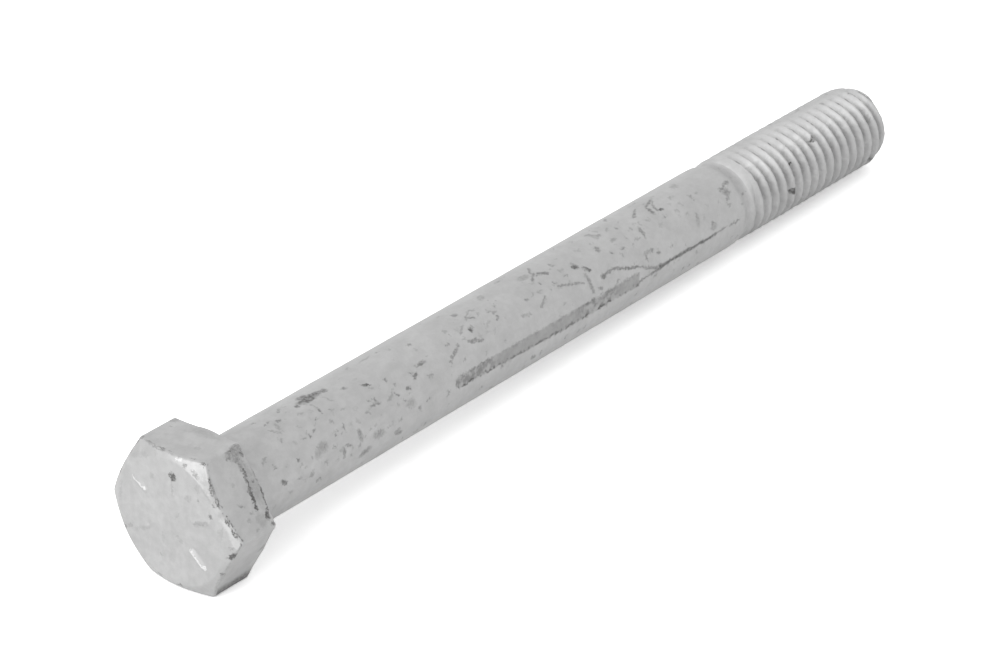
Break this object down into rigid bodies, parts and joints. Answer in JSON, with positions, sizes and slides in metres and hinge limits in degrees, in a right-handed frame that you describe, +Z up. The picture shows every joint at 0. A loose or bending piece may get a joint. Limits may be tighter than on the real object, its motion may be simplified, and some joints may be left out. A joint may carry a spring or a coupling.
{
  "type": "hex cap screw",
  "caption": "Zinc-coated hexagon head cap screw with a long plain body, a short right-hand thread and a chamfered point.",
  "frame": {"origin": "centre of the bearing face under the head, on the screw's axis", "axes": "+X from the head towards the threaded point, level with the floor; +Z up. The screw lies at rest with a flat of its head down and its thread's end on the floor, so its own axis dips 1.36 degrees below +X"},
  "size_m": [0.148, 0.022, 0.0192],
  "materials": {
    "zinc": "dull hot-dip zinc coat, grey, with dross specks, pits and scratches"
  },
  "bodies": {
    "root": {"screw": "zinc"}
  },
  "joints": []
}
